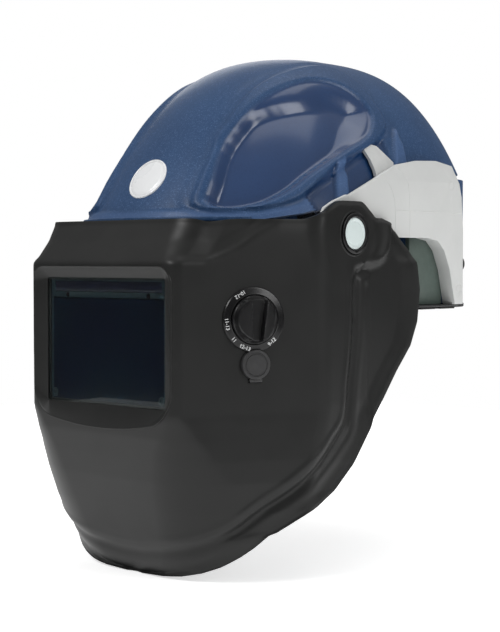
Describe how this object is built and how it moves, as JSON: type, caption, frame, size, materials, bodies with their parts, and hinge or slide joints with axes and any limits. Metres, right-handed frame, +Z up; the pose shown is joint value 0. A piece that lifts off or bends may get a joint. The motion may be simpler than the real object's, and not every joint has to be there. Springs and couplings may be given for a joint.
{
  "type": "powered air respirator",
  "caption": "Hard-hat dome with rear blower and filter, clear visor, and a flip-up welding shield with auto-darkening lens, shade dial and grind button.",
  "frame": {"origin": "on the head's centre plane, level with the middle of the headband and straight below the shield's pivot axis", "axes": "+Z up, the wearer faces -Y, the wearer's left is +X"},
  "size_m": [0.242, 0.316, 0.3669],
  "materials": {
    "shell_blue": "deep blue pearl moulding, glossy with fine sparkle",
    "badge_white": "white domed badge, plain",
    "cover_grey": "light grey moulding, satin",
    "screw_steel": "zinc-plated",
    "wall_grey": "dark green-grey moulding",
    "black_plastic": "fine textured black",
    "foot_rubber": "matt rubber",
    "black_gloss": "satin black",
    "filter_paper": "pleated filter paper",
    "seal_foam": "soft black foam",
    "dark_plastic": "dark grey moulding",
    "fan_plastic": "light nylon",
    "motor_steel": "drawn steel can",
    "board_green": "printed circuit board",
    "button_rubber": "soft rubber",
    "band_plastic": "flexible nylon",
    "band_foam": "knit over foam",
    "strap_web": "woven webbing",
    "clear_visor": "clear polycarbonate",
    "seal_cloth": "close-woven flame-resistant cloth",
    "washer_grey": "acetal",
    "button_white": "white satin",
    "spring_steel": "music wire",
    "shield_black": "black moulding with a soft satin sheen",
    "cover_glass": "clear polycarbonate",
    "lens_case": "dark moulding",
    "dark_glass": "polished dark filter glass",
    "solar_dark": "solar film",
    "sensor_red": "photodiode window",
    "knob_black": "satin black",
    "button_black": "soft black",
    "cable_black": "flat lead"
  },
  "bodies": {
    "helmet": {"helmet_shell": "shell_blue", "brow_trim": "shell_blue", "badge": "badge_white", "side_cover_left": "cover_grey", "side_cover_right": "cover_grey", "cover_screws": "screw_steel", "inner_wall": "wall_grey", "base_tray": "black_plastic", "feet": "foot_rubber", "rear_housing": "shell_blue", "filter_pack": "filter_paper", "filter_seal": "seal_foam", "blower_case": "dark_plastic", "blower_motor": "motor_steel", "battery_pack": "black_plastic", "control_board": "board_green", "charge_socket": "black_plastic", "air_duct": "dark_plastic", "air_diffuser": "dark_plastic", "headband": "band_plastic", "sweatband": "band_foam", "crown_strap_front": "strap_web", "crown_strap_rear": "strap_web", "crown_pad": "band_foam", "band_hangers": "band_plastic", "visor": "clear_visor", "visor_frame": "black_plastic", "face_seal": "seal_cloth", "hub_left": "black_gloss", "hub_right": "black_gloss", "washer_left": "washer_grey", "washer_right": "washer_grey", "spring_left": "spring_steel", "spring_right": "spring_steel"},
    "shield": {"weld_shield": "shield_black", "lens_bezel": "shield_black", "cover_lens": "cover_glass", "lens_seal": "seal_foam", "dark_lens_case": "lens_case", "lcd_panel": "dark_glass", "solar_cell": "solar_dark", "light_sensors": "sensor_red", "rear_lens": "cover_glass", "lens_clip": "black_plastic", "dial_ring": "black_gloss", "control_box": "black_plastic", "lens_cable": "cable_black"},
    "shade_knob": {"shade_knob": "knob_black"},
    "grind_button": {"grind_button": "button_black"},
    "release_left": {"release_left": "button_white"},
    "release_right": {"release_right": "button_white"},
    "filter_door": {"filter_door": "black_plastic"},
    "door_latch": {"door_latch": "black_gloss"},
    "impeller": {"impeller": "fan_plastic"},
    "power_button": {"power_button": "button_rubber"},
    "nape": {"nape_band": "band_plastic", "nape_pad": "band_foam", "ratchet_case": "band_plastic"},
    "ratchet_knob": {"ratchet_knob": "dark_plastic"}
  },
  "joints": [
    {"name": "shield_hinge", "type": "hinge", "parent": "helmet", "child": "shield", "pos_m": [0, 0, 0.025], "axis": [-1, 0, 0], "range_deg": [0, 52]},
    {"name": "shade_dial", "type": "hinge", "parent": "shield", "child": "shade_knob", "pos_m": [0.09581, -0.07708, -0.032], "axis": [0.9026, -0.4305, 0], "range_deg": [-125, 125]},
    {"name": "grind_press", "type": "slide", "parent": "shield", "child": "grind_button", "axis": [-0.9026, 0.4305, 0], "range_m": [0, 0.0015], "stiffness_N_per_m": 900},
    {"name": "release_press_left", "type": "slide", "parent": "helmet", "child": "release_left", "axis": [-1, 0, 0], "range_m": [0, 0.0015], "stiffness_N_per_m": 1200},
    {"name": "release_press_right", "type": "slide", "parent": "helmet", "child": "release_right", "axis": [1, 0, 0], "range_m": [0, 0.0015], "stiffness_N_per_m": 1200},
    {"name": "filter_door_hinge", "type": "hinge", "parent": "helmet", "child": "filter_door", "pos_m": [0, 0.1843, -0.0188], "axis": [-1, 0, 0], "range_deg": [0, 85]},
    {"name": "door_latch_slide", "type": "slide", "parent": "filter_door", "child": "door_latch", "axis": [0, -1, 0], "range_m": [0, 0.0018], "stiffness_N_per_m": 600},
    {"name": "impeller_spin", "type": "hinge", "parent": "helmet", "child": "impeller", "pos_m": [0, 0.139, -0.004], "axis": [0, 0, 1], "continuous": true},
    {"name": "power_press", "type": "slide", "parent": "helmet", "child": "power_button", "axis": [0, -1, 0], "range_m": [0, 0.0012], "stiffness_N_per_m": 700},
    {"name": "nape_slide", "type": "slide", "parent": "helmet", "child": "nape", "axis": [0, 1, 0], "range_m": [-0.0117, 0.0078]},
    {"name": "ratchet_turn", "type": "hinge", "parent": "nape", "child": "ratchet_knob", "pos_m": [0, 0.106, -0.05], "axis": [0, -1, 0], "range_deg": [-180, 270]}
  ],
  "couplings": [
    {"joint": "ratchet_turn", "follows": "nape_slide", "rad_per_m": -400}
  ]
}
